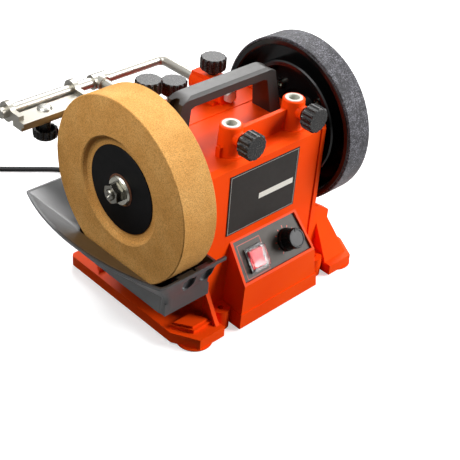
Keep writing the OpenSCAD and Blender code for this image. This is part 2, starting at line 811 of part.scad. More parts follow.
module carry_handle() color("dimgray") difference() {
    intersection() {
        front_profile(-handle_w, handle_w) polygon([
            [handle_mid - handle_foot_half, deck_h], [handle_mid - handle_shoulder_half, handle_shoulder_h],
            [handle_mid - handle_crown_half, handle_top], [handle_mid + handle_crown_half, handle_top],
            [handle_mid + handle_shoulder_half, handle_shoulder_h], [handle_mid + handle_foot_half, deck_h],
            [handle_mid + handle_foot_half - handle_foot_t, deck_h],
            [handle_mid + handle_shoulder_half - handle_leg_t + 2, handle_top - grip_t - 2],
            [handle_mid + handle_crown_half - 4, handle_top - grip_t],
            [handle_mid - handle_crown_half + 4, handle_top - grip_t],
            [handle_mid - handle_shoulder_half + handle_leg_t - 2, handle_top - grip_t - 2],
            [handle_mid - handle_foot_half + handle_foot_t, deck_h]
        ]);
        side_profile(-far, far) polygon([
            [-handle_foot_w / 2, deck_h], [-handle_w / 2, handle_top - grip_t],
            [-handle_w / 2, handle_top - 3], [-handle_w / 2 + 3, handle_top],
            [handle_w / 2 - 3, handle_top], [handle_w / 2, handle_top - 3],
            [handle_w / 2, handle_top - grip_t], [handle_foot_w / 2, deck_h]
        ]);
    }
    // Arched pocket moulded into the outer face of each leg
    intersection() {
        union() {
            rod_x(pocket_r, -far, far, 0, pocket_h);
            block(-far, far, -pocket_r, pocket_r, deck_h + 12, pocket_h);
        }
        for (s = [-1, 1]) front_profile(-handle_w, handle_w) polygon([
            [handle_mid + s * (handle_foot_half - pocket_t), deck_h],
            [handle_mid + s * (handle_shoulder_half - pocket_t), handle_shoulder_h],
            [handle_mid + s * (handle_shoulder_half - pocket_t), handle_top],
            [s * far, handle_top], [s * far, deck_h]
        ]);
    }
    for (x = handle_screw_x) rod_z(2.95, deck_h - 1, deck_h + 9, x, 0);
}

module handle_screws() color("silver") {
    for (x = handle_screw_x) {
        rod_z(2.9, deck_under, deck_h + 8, x, 0);
        rod_z(4.4, deck_under - 2.6, deck_under, x, 0);
    }
}

// Bushes, end bolts, knobs and studs

module front_bushes() color("whitesmoke") {
    for (x = boss_x) difference() {
        rod_z(bush_r, deck_under, boss_top + 0.5, x, boss_y);
        rod_z(bush_bore_r, deck_under - 1, boss_top + 2, x, boss_y);
        rod_y(stud_r + 0.2, boss_y - bush_r - 1, boss_y, x, front_knob_z);
    }
}

module rear_bushes() color("whitesmoke") {
    for (x = sleeve_x) difference() {
        rod_y(bush_r, bush_y0, sleeve_y[1] + 0.5, x, sleeve_h);
        rod_y(bush_bore_r, bush_y0 - 1, sleeve_y[1] + 2, x, sleeve_h);
        rod_z(stud_r + 0.2, sleeve_h, sleeve_h + bush_r + 1, x, rear_knob_y);
    }
}

module sleeve_end_bolts() color("silver") {
    for (x = sleeve_x) {
        rod_y(stud_r, sleeve_y[0] - eps, sleeve_y[0] + sleeve_wall, x, sleeve_h);
        translate([x, sleeve_y[0], sleeve_h]) rotate([0, 0, -90]) hex_x(13, 0, 6, 0, 0);
    }
}

// A fluted clamp knob standing on z = 0, bored for its stud
module grip_knob(stud_hole) {
    r = knob_d / 2;
    collar_h = 5;
    difference() {
        rotate_extrude() polygon([
            [0, 0], [6.5, 0], [6.5, collar_h - 1.5], [8, collar_h], [r - 1.5, collar_h], [r, collar_h + 1.5],
            [r, knob_h - knob_edge], [r - knob_edge, knob_h], [0, knob_h]
        ]);
        for (i = [0:knob_flutes - 1]) rotate([0, 0, i * 360 / knob_flutes]) {
            translate([r + flute_r - flute_h, 0, collar_h - 1]) cylinder(r = flute_r, h = knob_h, $fn = 24);
        }
        translate([0, 0, -1]) cylinder(r = stud_hole, h = stud_in_knob + 1 + fit);
    }
}

module knob_stud(reach) {
    translate([0, 0, -reach]) cylinder(r = stud_r, h = reach + stud_in_knob);
}

module at_front_knob(i) {
    translate([boss_x[i], pad_front - knob_gap, front_knob_z]) rotate([90, 0, 0]) children();
}

module at_rear_knob(i) {
    translate([sleeve_x[i], rear_knob_y, pad_top + rear_knob_gap]) children();
}

module at_tension_knob() {
    translate([tension_at[0], tension_at[1], tension_top + tension_gap]) children();
}

front_reach = boss_y - bar_r - stud_clear - pad_front + knob_gap;
rear_reach = pad_top + rear_knob_gap - sleeve_h - bar_r - stud_clear;

module clamp_knob() color("black") grip_knob(stud_r + fit);
module front_left_knob() at_front_knob(0) clamp_knob();
module front_right_knob() at_front_knob(1) clamp_knob();
module rear_left_knob() at_rear_knob(0) clamp_knob();
module rear_right_knob() at_rear_knob(1) clamp_knob();
module tension_knob() at_tension_knob() clamp_knob();

module front_left_stud() color("silver") at_front_knob(0) knob_stud(front_reach);
module front_right_stud() color("silver") at_front_knob(1) knob_stud(front_reach);
module rear_left_stud() color("silver") at_rear_knob(0) knob_stud(rear_reach);
module rear_right_stud() color("silver") at_rear_knob(1) knob_stud(rear_reach);
module tension_stud() color("silver") at_tension_knob() {
    knob_stud(tension_gap + 14);
    rotate([0, -90, 0]) hex_x(13, 0.6 - tension_gap, -1.4, 0, 0);
}

// Motor and drive

module motor() color("gray") difference() {
    union() {
        rod_x(motor_r, motor_x0, motor_x1, motor_y, motor_z);
        rod_x(motor_nose_r, motor_x1 - eps, motor_x1 + bracket_t + 2, motor_y, motor_z);
        rod_x(14, motor_x0 - 8, motor_x0 + eps, motor_y, motor_z);
    }
    rod_x(motor_shaft_r + fit, motor_x1 - 8, far, motor_y, motor_z);
}

module motor_bracket() color("silver") difference() {
    union() {
        block(motor_x1, motor_x1 + bracket_t, bracket_y[0], bracket_y[1], seam_h, motor_z + 19);
        block(motor_x1 - 30, motor_x1 + eps, bracket_y[0], bracket_y[1], seam_h, seam_h + bracket_t);
    }
    rod_x(motor_nose_r + 0.2, motor_x1 - 1, motor_x1 + bracket_t + 1, motor_y, motor_z);
}

module motor_shaft() color("silver") rod_x(motor_shaft_r, motor_x1 - 7, roller_x1, motor_y, motor_z);

module drive_roller() color("dimgray") {
    translate([0, motor_y, motor_z]) rotate([0, 90, 0]) rotate_extrude() polygon([
        [motor_shaft_r + fit, roller_x0], [roller_r - 1, roller_x0], [roller_r, roller_x0 + 1],
        [roller_r, roller_x1 - 1], [roller_r - 1, roller_x1], [motor_shaft_r + fit, roller_x1]
    ]);
}

// Spindle, stone and honing wheel

module main_shaft() color("silver") turned([
    [0, shaft_end_x + 2.5], [2.5, shaft_end_x], [shaft_r - 1, shaft_end_x], [shaft_r, shaft_end_x + 1],
    [shaft_r, stone_flange_x1], [journal_r, stone_flange_x1], [journal_r, hub_x0], [shaft_r, hub_x0],
    [shaft_r, wheel_x1 + 13], [shaft_r - 1, wheel_x1 + 14], [0, wheel_x1 + 14]
]);

module grinding_stone() color("tan") {
    bore = shaft_r + 0.1;
    r = stone_d / 2;
    turned([
        [bore, dish_x], [dish_floor_r, dish_x], [dish_floor_r + 3, dish_x - 1], [dish_r - 1.5, stone_x0 + 1.2],
        [dish_r, stone_x0], [r - 0.8, stone_x0], [r, stone_x0 + 0.8], [r, stone_x1 - 0.8], [r - 0.8, stone_x1],
        [dish_r, stone_x1], [dish_floor_r, back_dish_x], [bore, back_dish_x]
    ]);
}

// A flat ring clamped on the spindle
module shaft_ring(r, x0, x1, edge) {
    bore = shaft_r + 0.1;
    turned([[bore, x0], [r - edge, x0], [r, x0 + edge], [r, x1], [bore, x1]]);
}

module stone_disc() color("black") shaft_ring(disc_d / 2, dish_x - disc_t, dish_x, 0.4);
module fibre_washer() color("saddlebrown") {
    shaft_ring(17.5, dish_x - disc_t - fibre_t, dish_x - disc_t, 0.1);
}
module stone_washer() color("silver") shaft_ring(16, nut_x, nut_x + washer_t, 1.4);
module stone_flange() color("gray") {
    bore = shaft_r + 0.1;
    turned([
        [bore, back_dish_x], [26, back_dish_x], [26, back_dish_x + 4],
        [14, stone_flange_x1], [bore, stone_flange_x1]
    ]);
}

module stone_nut() color("silver") difference() {
    hex_x(m12_flats, nut_x - nut_t, nut_x, 0, axle_h);
    rod_x(shaft_r + fit, nut_x - nut_t - 1, nut_x + 1);
}

module honing_wheel() color("#222222") difference() {
    turned([
        [shaft_r + 0.1, hub_x0], [hub_r, hub_x0], [hub_r, web_x0], [wheel_r - wheel_rim_t, web_x0],
        [wheel_r - wheel_rim_t + 2, wheel_x0 + 1.5], [wheel_r - wheel_rim_t + 3.5, wheel_x0],
        [wheel_r - 1, wheel_x0], [wheel_r, wheel_x0 + 1], [wheel_r, wheel_x1 - 1],
        [wheel_r - 1, wheel_x1], [wheel_r - wheel_rim_t, wheel_x1],
        [wheel_r - wheel_rim_t, web_x1], [hub_r, web_x1], [hub_r, wheel_x1], [shaft_r + 0.1, wheel_x1]
    ]);
    ring_screw_places() cylinder(r = 2.6, h = far);
}

module leather_strop() color("#33343a") turned([
    [wheel_r + fit, wheel_x0 + 0.6], [wheel_d / 2 - 0.8, wheel_x0 + 0.6], [wheel_d / 2, wheel_x0 + 1.4],
    [wheel_d / 2, wheel_x1 - 1.4], [wheel_d / 2 - 0.8, wheel_x1 - 0.6], [wheel_r + fit, wheel_x1 - 0.6]
]);

// The screws' common frame: z runs along the spindle from the seat of the screw heads
module ring_screw_places() {
    for (i = [0:ring_screw_count - 1]) {
        translate([web_x0 - ring_flange_t, 0, axle_h]) rotate([45 + i * 360 / ring_screw_count, 0, 0]) {
            translate([0, ring_screw_r, 0]) rotate([0, 90, 0]) children();
        }
    }
}

module drive_ring() color("#1c1c1e") difference() {
    turned([
        [hub_r + 10, web_x0 - ring_flange_t], [ring_r - ring_t, web_x0 - ring_flange_t],
        [ring_r - ring_t, ring_x0 + 1],
        [ring_r - ring_t + 1, ring_x0], [ring_r - 1.5, ring_x0], [ring_r, ring_x0 + 1.5], [ring_r, web_x0],
        [hub_r + 10, web_x0]
    ]);
    ring_screw_places() translate([0, 0, -1]) cylinder(r = 2.6, h = ring_flange_t + 2);
}

module ring_screws() color("#303030") ring_screw_places() difference() {
    union() {
        translate([0, 0, -screw_head_h]) cylinder(r = 5, h = screw_head_h);
        translate([0, 0, -eps]) cylinder(r = 2.5, h = ring_flange_t + 5);
    }
    translate([0, 0, -screw_head_h - 1]) cylinder(r = 3, h = 4, $fn = 6);
}

module wheel_washer() color("silver") shaft_ring(14, wheel_x1, wheel_x1 + 2.5, 0.4);
module wheel_nut() color("silver") difference() {
    hex_x(m12_flats, wheel_x1 + 2.5, wheel_x1 + 12, 0, axle_h);
    rod_x(shaft_r + fit, wheel_x1, wheel_x1 + 13);
}

// Water tray

// The rim in plan: a long bulged outer side, square at the back and rounded at the front
module rim_outline(inset) {
    arc_x = rim_x - rim_bulge + rim_arc_r;
    intersection() {
        translate([arc_x, rim_mid_y]) circle(r = rim_arc_r - inset, $fn = 180);
        translate([-far, rim_y[0] + inset]) {
            square([far + tray_inner_x - inset, rim_y[1] - rim_y[0] - 2 * inset]);
        }
        union() {
            translate([-far, rim_y[0] + rim_corner_r + 8]) square([far, far]);
            translate([-162, rim_y[0]]) square([far, far]);
            translate([-162, rim_y[0] + rim_corner_r + 8]) circle(r = rim_corner_r + 8 - inset);
        }
    }
}

module well_outline(x0, y0, y1, inset) {
    r = well_corner_r - inset;
    translate([(x0 + tray_inner_x) / 2, (y0 + y1) / 2]) {
        rounded_square([tray_inner_x - x0 - 2 * inset, y1 - y0 - 2 * inset], r);
    }
}

module slab(z, t) {
    translate([0, 0, z]) linear_extrude(t) children();
}

// One layer of the tray's skin: the flared dish above and the tapered well below
module tray_form(inset, rise) {
    hull() {
        slab(rim_h - 3 + rise, 3) rim_outline(inset);
        slab(well_h - tray_t + rise, eps) well_outline(well_x, well_y[0], well_y[1], inset);
    }
    hull() {
        slab(well_h - tray_t + rise, eps) well_outline(well_x, well_y[0], well_y[1], inset);
        slab(tray_bottom + rise, eps) well_outline(well_floor_x, well_floor_y[0], well_floor_y[1], inset);
    }
}

// A finger hollow under the front rim: round below, square above
module front_hollow(x, r, y, top) {
    rod_y(r, -far, y, x, hollow_z);
    block(x - r, x + r, -far, y, hollow_z, top);
}

// The hollows' own walls, standing in from the middle of the sloping front wall
module hollow_walls() {
    low = hollow_z - hollow_r - hollow_t;
    high = hollow_top + hollow_t;
    back = hollow_y + hollow_t;
    intersection() {
        for (x = hollow_x) front_hollow(x, hollow_r + hollow_t, back, high);
        side_profile(well_x, tray_inner_x - 0.5) {
            polygon([[well_y[0] + 1.4, low], [back, low], [back, high], [rim_y[0] + 1.4, high]]);
        }
    }
}

module water_tray() color("dimgray") {
    difference() {
        union() {
            difference() {
                union() {
                    tray_form(0, 0);
                    block(tray_inner_x - 1, -85, rim_y[0], rim_y[0] + tray_t, rim_h - 4, rim_h);
                    block(-158, tray_inner_x - 1.5, well_floor_y[0] - 1, well_floor_y[0] + 15, tray_bottom,
                        tray_bottom + tray_foot_h);
                }
                tray_form(tray_t, tray_t + 0.1);
            }
            hollow_walls();
        }
        for (x = hollow_x) front_hollow(x, hollow_r, hollow_y, hollow_top);
    }
    for (s = [-1, 1], t = [-1, 1]) {
        y = s * guide_y + t * (guide_w / 2 + 2.4);
        block(tray_inner_x - 1, -house_left - 0.5, y - 2, y + 2, well_h - 12, rim_h - 2);
    }
}

// Tool support

module support_bar() color("silver") {
    leg_x = sleeve_x[1];
    rod_y(bar_r, leg_end, bar_reach - bend_r, leg_x, sleeve_h);
    translate([leg_x - bend_r, bar_reach - bend_r, sleeve_h]) rotate_extrude(angle = 90) {
        translate([bend_r, 0]) circle(r = bar_r);
    }
    rod_x(bar_r, -bar_end + 1, leg_x - bend_r, bar_reach, sleeve_h);
    translate([-bar_end + 1, bar_reach, sleeve_h]) rotate([0, -90, 0]) {
        cylinder(r1 = bar_r, r2 = bar_r - 1, h = 1);
    }
    rod_y(bar_r, leg_end, bar_reach, sleeve_x[0], sleeve_h);
    rod_x(tee_r, sleeve_x[0] - tee_l / 2, sleeve_x[0] + tee_l / 2, bar_reach, sleeve_h);
    rod_y(tee_r, bar_reach - tee_l / 2 - 2, bar_reach, sleeve_x[0], sleeve_h);
}

module jig_frame() color("silver") difference() {
    union() {
        for (x = [jig_x[0], jig_x[1] - jig_cheek_t]) {
            rod_x(jig_cheek_r, x, x + jig_cheek_t, bar_reach, sleeve_h);
            block(x, x + jig_cheek_t, jig_plate_y[0] + 8, bar_reach, jig_plate_z[0], jig_plate_z[1] + 5);
        }
        block(jig_x[0], jig_x[1], jig_plate_y[0], jig_plate_y[1], jig_plate_z[0], jig_plate_z[1]);
    }
    rod_x(bush_bore_r, jig_x[0] - 1, jig_x[1] + 1, bar_reach, sleeve_h);
    rod_z(jig_screw_r + fit, jig_plate_z[0] - 1, jig_plate_z[1] + 1, jig_screw_x, jig_screw_y);
}

module jig_clamp_plate() color("silver") difference() {
    block(jig_x[0] + 2, jig_x[1] - 2, jig_plate_y[0] + 7, jig_plate_y[1], jig_clamp_z[0], jig_clamp_z[1]);
    rod_z(jig_screw_r + 0.3, jig_clamp_z[0] - 1, jig_clamp_z[1] + 1, jig_screw_x, jig_screw_y);
}

module jig_screw() color("silver") {
    rod_z(jig_screw_r, jig_knob_z[0] + 2, jig_plate_z[1] + eps, jig_screw_x, jig_screw_y);
    translate([jig_screw_x, jig_screw_y, jig_plate_z[1]]) rotate_extrude() {
        polygon([[0, 0], [8, 0], [7.4, 1.6], [5.4, 3.2], [2.6, 4], [0, 4]]);
    }
}

module jig_knob() color("black") {
    r = jig_knob_d / 2;
    translate([jig_screw_x, jig_screw_y, jig_knob_z[0]]) difference() {
        h = jig_knob_z[1] - jig_knob_z[0];
        hub_top = jig_clamp_z[0] - jig_knob_z[0] - 0.4;
        rotate_extrude() polygon([
            [jig_screw_r + fit, 0], [r - 3, 0], [r, 2.5], [r, h - 1], [r - 1, h], [r - 3.4, h], [r - 3.8, 3.5],
            [6, 3.5], [6, hub_top], [jig_screw_r + fit, hub_top]
        ]);
        for (i = [0:knob_flutes - 1]) rotate([0, 0, i * 360 / knob_flutes]) {
            translate([r + flute_r - flute_h, 0, -1]) cylinder(r = flute_r, h = h + 2, $fn = 24);
        }
    }
}

// Mains lead

module cord_gland() color("black") {
    translate([0, 0, gland_z]) rotate([-90, 0, 0]) difference() {
        rotate_extrude() polygon([
            [0, house_half - wall - 3], [8, house_half - wall - 3],
            [8, house_half - wall], [6, house_half - wall],
            [6, house_half], [9, house_half], [9, house_half + 3], [6.5, house_half + 4],
            [cord_r + 1, gland_tip_y], [0, gland_tip_y]
        ]);
        // Bending slots round the tapered tail
        for (i = [0:4], s = [0, 1]) rotate([0, 0, s * 180 + i % 2 * 90]) {
            translate([4.4, -8, house_half + 9 + i * 5]) cube([8, 16, 1.8]);
        }
    }
}

module mains_cord() color("black") swept_tube(cord_route, cord_r, cord_sides);
module cord_coil() color("black") swept_tube(coil_path, cord_r, 6);

module cord_tie() color("dimgray") {
    in_r = coil_r - cord_r;
    out_r = coil_radius(0) + cord_r;
    top = coil_z + coil_pitch + cord_r;
    translate([coil_mid[0], coil_mid[1], 0]) rotate([0, 0, tie_angle]) difference() {
        block(in_r - 1.6, out_r + 1.6, -4.5, 4.5, 0.2, top + 1.5);
        block(in_r - 0.4, out_r + 0.4, -5, 5, coil_lift - 0.2, top + 0.4);
    }
}

module at_plug() {
    translate(plug_at) rotate([0, 0, plug_heading]) children();
}

module mains_plug() color("black") at_plug() {
    rotate([0, 90, 0]) rotate_extrude() {
        polygon([[0, 0], [cord_r + 0.8, 0], [6.5, 22], [6.5, 26], [0, 26]]);
    }
    hull() {
        translate([24, 0, 0]) rotate([0, 90, 0]) cylinder(r = 8, h = 1, $fn = 32);
        translate([40, 0, 0]) rotate([0, 90, 0]) linear_extrude(14) rounded_square([22, 34], 8, $fn = 32);
    }
    translate([54 - eps, 0, 0]) rotate([0, 90, 0]) linear_extrude(5) rounded_square([22, 37], 8);
}

module plug_pins() color("silver") at_plug() {
    for (s = [-1, 1]) translate([59 + 8.5, s * 7, 2]) rotate([s * 30, 0, 0]) {
        cube([17, 1.8, 6.4], center = true);
    }
    translate([59 + 10, 0, -6.5]) cube([20, 1.8, 6.4], center = true);
}

base_plate();
rubber_feet();
housing();
right_cover();
cover_screws();
spindle_bearings();
control_panel();
switch_bezel();
rocker();
switch_cover();
speed_dial();
speed_controller();
rating_plate();
carry_handle();
handle_screws();
front_bushes();
rear_bushes();
sleeve_end_bolts();
front_left_knob();
front_left_stud();
front_right_knob();
front_right_stud();
rear_left_knob();
rear_left_stud();
rear_right_knob();
rear_right_stud();
tension_knob();
tension_stud();
motor();
motor_bracket();
motor_shaft();
drive_roller();
main_shaft();
grinding_stone();
stone_disc();
stone_flange();
fibre_washer();
stone_washer();
stone_nut();
honing_wheel();
leather_strop();
drive_ring();
ring_screws();
wheel_washer();
wheel_nut();
water_tray();
support_bar();
jig_frame();
jig_clamp_plate();
jig_screw();
jig_knob();
cord_gland();
mains_cord();
cord_coil();
cord_tie();
mains_plug();
plug_pins();
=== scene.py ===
import json
import math

import bmesh
import bpy
from mathutils import Matrix, Quaternion, Vector


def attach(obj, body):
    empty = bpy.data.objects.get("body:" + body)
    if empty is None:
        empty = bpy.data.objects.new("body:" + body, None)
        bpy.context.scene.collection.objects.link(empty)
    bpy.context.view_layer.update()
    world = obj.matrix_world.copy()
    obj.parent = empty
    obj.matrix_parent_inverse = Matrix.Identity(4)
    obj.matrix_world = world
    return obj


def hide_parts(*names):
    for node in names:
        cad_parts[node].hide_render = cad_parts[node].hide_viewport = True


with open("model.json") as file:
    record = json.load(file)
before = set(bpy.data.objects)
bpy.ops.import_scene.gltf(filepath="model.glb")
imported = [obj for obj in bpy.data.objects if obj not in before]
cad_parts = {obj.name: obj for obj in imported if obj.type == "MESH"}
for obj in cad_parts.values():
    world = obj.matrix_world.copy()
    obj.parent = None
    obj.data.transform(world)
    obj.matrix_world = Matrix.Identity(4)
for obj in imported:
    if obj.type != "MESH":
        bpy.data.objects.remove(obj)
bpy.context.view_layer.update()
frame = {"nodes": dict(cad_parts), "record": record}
nodes = frame["nodes"]
record = frame["record"]
body_of_node = {node: body for body, members in record["behaviour"]["bodies"].items() for node in members}
slot_of_node = {part["node"]: part["material_slot"] for part in record["subparts"]}
scene = bpy.context.scene

# Places on the machine and depths of grain are in millimetres, the camera and the studio in metres
MM = 0.001
X = Vector((1, 0, 0))
Z = Vector((0, 0, 1))


def link(obj):
    """Put an object in the scene."""
    scene.collection.objects.link(obj)
    return obj


def facing(at, towards, roll=0.0):
    """The turn that points a camera or lamp at a place, rolled about its line of sight by degrees."""
    sight = Vector(towards) - Vector(at)
    return sight.to_track_quat("-Z", "Y") @ Quaternion((0, 0, 1), math.radians(roll))


# Camera, where the photograph was taken from

PHOTO_WIDTH_PX = 460
FOCAL_PX = 996.27
SENSOR_WIDTH = 36
EYE = (-0.671073, -0.646218, 0.711968)
LOOK_AT = (0, -0.01104, 0.056)
EYE_ROLL = 4.8844

camera = link(bpy.data.objects.new("camera", bpy.data.cameras.new("camera")))
camera.data.sensor_width = SENSOR_WIDTH
camera.data.lens = SENSOR_WIDTH * FOCAL_PX / PHOTO_WIDTH_PX
camera.data.clip_start = 0.05
camera.data.clip_end = 50
camera.matrix_world = Matrix.LocRotScale(Vector(EYE), facing(EYE, LOOK_AT, EYE_ROLL), None)
scene.camera = camera


# Building blocks of node materials

def linear(r, g, b):
    """A colour as a screen shows it, 0 to 255, in the linear values that a shader takes."""
    seen = (r / 255, g / 255, b / 255)
    return tuple(c / 12.92 if c <= 0.04045 else ((c + 0.055) / 1.055) ** 2.4 for c in seen)


def shaded(colour, factor):
    """A lighter or darker version of a colour."""
    return tuple(min(1, c * factor) for c in colour)


def add_node(tree, kind, inputs=(), **settings):
    """A shader node with its settings and its inputs, each of them a link or a value."""
    made = tree.nodes.new("ShaderNode" + kind)
    for key, value in settings.items():
        setattr(made, key, value)
    for key, value in dict(inputs).items():
        if isinstance(value, bpy.types.NodeSocket):
            tree.links.new(value, made.inputs[key])
        else:
            made.inputs[key].default_value = value
    return made


class Shader:
    """A material under construction: a principled shader and the textures that feed it."""

    def __init__(self, name, rough, metallic=0.0, specular=0.5, **sockets):
        self.material = bpy.data.materials.new(name)
        self.material.use_nodes = True
        self.tree = self.material.node_tree
        self.shader = self.tree.nodes["Principled BSDF"]
        sockets.update(Roughness=rough, Metallic=metallic, Specular_IOR_Level=specular)
        for key, value in sockets.items():
            self.shader.inputs[key.replace("_", " ")].default_value = value
        self.object_space = self.node("TexCoord").outputs["Object"]

    def node(self, kind, inputs=(), **settings):
        return add_node(self.tree, kind, inputs, **settings)

    def stretched(self, scale):
        """Object space with its own scale along each axis."""
        return self.node("Mapping", {"Vector": self.object_space, "Scale": scale}).outputs[0]

    def noise(self, scale, detail=4.0, rough=0.55, vector=None):
        inputs = {"Vector": vector or self.object_space, "Scale": scale, "Detail": detail}
        return self.node("TexNoise", {**inputs, "Roughness": rough}).outputs["Fac"]

    def cells(self, scale):
        return self.node("TexVoronoi", {"Vector": self.object_space, "Scale": scale}).outputs["Distance"]

    def ramp(self, fac, *stops):
        """Colours at stops along a value."""
        made = self.node("ValToRGB", {"Fac": fac})
        elements = made.color_ramp.elements
        while len(elements) < len(stops):
            elements.new(0.5)
        for element, (at, colour) in zip(elements, stops):
            element.position = at
            element.color = (*colour, 1)
        return made.outputs["Color"]

    def mix(self, fac, a, b):
        """Two colours mixed; sockets go by number, as a Mix node has several of each name."""
        colours = {i: (*c, 1) if isinstance(c, tuple) else c for i, c in ((6, a), (7, b))}
        return self.node("Mix", {0: fac, **colours}, data_type="RGBA").outputs[2]

    def span(self, fac, low, high, start=0.0, stop=1.0):
        """A value from start to stop, brought to the range from low to high."""
        inputs = {"Value": fac, "From Min": start, "From Max": stop, "To Min": low, "To Max": high}
        return self.node("MapRange", inputs).outputs[0]

    def feed(self, socket, value):
        self.tree.links.new(value, self.shader.inputs[socket])

    def bump(self, height, strength, depth, under=None):
        """Relief of a depth, on top of another relief where one is given."""
        inputs = {"Height": height, "Strength": strength, "Distance": depth * MM}
        if under is not None:
            inputs["Normal"] = under
        made = self.node("Bump", inputs).outputs[0]
        self.feed("Normal", made)
        return made


# Materials

def moulded(name, colour, rough, grain, depth, drift=0.12, **sockets):
    """Moulded plastic: a slow drift of colour, fine grain in the surface and an uneven gloss."""
    s = Shader(name, rough, **sockets)
    dark = shaded(colour, 1 - drift)
    slow = s.noise(14, 3)
    fine = s.noise(grain, 3, 0.6)
    drifting = s.ramp(slow, (0.3, dark), (0.7, shaded(colour, 1 + drift)))
    s.feed("Base Color", s.mix(s.span(fine, 0, 0.35), drifting, dark))
    s.feed("Roughness", s.span(s.noise(grain * 0.2, 2), rough - 0.06, rough + 0.08))
    s.bump(fine, 0.25, depth)
    return s.material


def turned_metal(name, colour, rough, axis="X", lines=2600, metallic=1.0):
    """Steel with fine turning or drawing marks across an axis; plating is less metallic than bare steel."""
    s = Shader(name, rough, metallic)
    scale = [lines if a == axis else 40 for a in "XYZ"]
    marks = s.noise(1, 3, 0.7, s.stretched(scale))
    cloud = s.noise(60, 3)
    s.feed("Base Color", s.mix(s.span(cloud, 0, 0.5), colour, shaded(colour, 0.78)))
    s.feed("Roughness", s.span(marks, rough * 0.75, rough * 1.35))
    s.bump(marks, 0.05, 0.03)
    return s.material


def threaded(name, colour, axis, pitch=1.25):
    """A plated screw thread along an axis, with painted shade darkening its grooves; a wave of scale 1
    repeats after a tenth of pi.
    """
    s = Shader(name, 0.3, 1.0)
    inputs = {"Vector": s.object_space, "Scale": math.pi / 10 / (pitch * MM), "Distortion": 0.0}
    wave = s.node("TexWave", inputs, wave_type="BANDS", bands_direction=axis).outputs["Fac"]
    # Painted shade: the colour falls to about a third where the wave is low, in the grooves of the thread
    s.feed("Base Color", s.ramp(wave, (0.0, shaded(colour, 0.35)), (0.6, colour)))
    s.feed("Roughness", s.span(s.noise(500, 2), 0.22, 0.4))
    s.bump(wave, 0.6, 0.3)
    return s.material


def orange_shell():
    """Orange moulding with a faint orange peel."""
    s = Shader("orange_shell", 0.38, specular=0.06)
    slow = s.noise(9, 3)
    peel = s.noise(420, 2, 0.5)
    fine = s.noise(2600, 2, 0.5)
    base = s.ramp(slow, (0.3, linear(238, 68, 9)), (0.7, linear(246, 80, 13)))
    s.feed("Base Color", s.mix(s.span(fine, 0, 0.22), base, linear(222, 50, 6)))
    s.feed("Roughness", s.span(peel, 0.32, 0.46))
    low = s.bump(peel, 0.08, 0.2)
    s.bump(fine, 0.05, 0.04, low)
    return s.material


def grit_stone():
    """Bonded grit: clouds of tan, dark grains and pale specks."""
    s = Shader("bonded_grit", 0.85, specular=0.2)
    cloud = s.noise(26, 5, 0.6)
    grain = s.noise(900, 4, 0.8)
    specks = s.cells(700)
    tan = s.ramp(cloud, (0.28, linear(203, 146, 74)), (0.5, linear(216, 159, 86)),
                 (0.75, linear(227, 174, 102)))
    grainy = s.mix(s.span(grain, 0, 0.85, 0.44, 0.68), tan, linear(134, 92, 44))
    s.feed("Base Color", s.mix(s.span(specks, 0.5, 0.0, 0.0, 0.25), grainy, linear(246, 212, 148)))
    s.feed("Roughness", s.span(grain, 0.75, 0.95))
    coarse = s.bump(s.noise(420, 4, 0.7), 0.25, 0.3)
    s.bump(grain, 0.5, 0.25, coarse)
    return s.material


def strop_leather():
    """Rough grey leather with worn patches, pores and fibres."""
    s = Shader("strop_leather", 0.75, specular=0.3, Sheen_Weight=0.15, Sheen_Roughness=0.5)
    mottled = s.noise(640, 5, 0.85)
    patches = s.noise(95, 4, 0.65)
    pores = s.cells(420)
    fibre = s.noise(380, 5, 0.8, s.stretched((0.6, 1.0, 1.0)))
    base = s.ramp(mottled, (0.42, linear(24, 23, 27)), (0.5, linear(66, 65, 71)),
                  (0.58, linear(142, 141, 149)))
    worn = s.mix(s.span(patches, 0, 0.75, 0.42, 0.62), base, linear(38, 37, 40))
    s.feed("Base Color", s.mix(s.span(fibre, 0, 0.85, 0.46, 0.6), worn, linear(26, 25, 28)))
    s.feed("Roughness", s.span(mottled, 0.62, 0.88))
    deep = s.bump(pores, 0.35, 0.5)
    s.bump(fibre, 0.5, 0.3, deep)
    return s.material


def clear_boot():
    """The soft clear cover of the switch."""
    s = Shader("clear_boot", 0.12, IOR=1.18, Transmission_Weight=1.0)
    s.feed("Base Color", s.ramp(s.noise(180, 2), (0.3, (0.93, 0.9, 0.9)), (0.7, (1, 0.98, 0.98))))
    s.bump(s.noise(240, 2), 0.1, 0.2)
    return s.material


def scuffed_knob():
    """Black knobs with grey scuffs."""
    s = Shader("knob_black", 0.36, specular=0.28)
    scuff = s.noise(640, 5, 0.8)
    fine = s.noise(1500, 3, 0.6)
    black = s.ramp(scuff, (0.44, linear(7, 7, 8)), (0.53, linear(26, 26, 27)), (0.64, linear(100, 97, 93)))
    s.feed("Base Color", black)
    s.feed("Roughness", s.span(scuff, 0.26, 0.5, 0.35, 0.65))
    low = s.bump(scuff, 0.3, 0.5)
    s.bump(fine, 0.2, 0.1, low)
    return s.material


def fibre_board():
    """The washer of vulcanised fibre behind the stone's nut."""
    s = Shader("vulcanised_fibre", 0.7)
    grain = s.noise(700, 4, 0.7)
    s.feed("Base Color", s.ramp(grain, (0.3, linear(70, 40, 24)), (0.7, linear(112, 66, 40))))
    s.bump(grain, 0.3, 0.1)
    return s.material


def print_ink(name, colour):
    """Screen print, a little uneven."""
    s = Shader(name, 0.45)
    s.feed("Base Color", s.ramp(s.noise(2200, 2), (0.3, shaded(colour, 0.85)), (0.7, colour)))
    return s.material


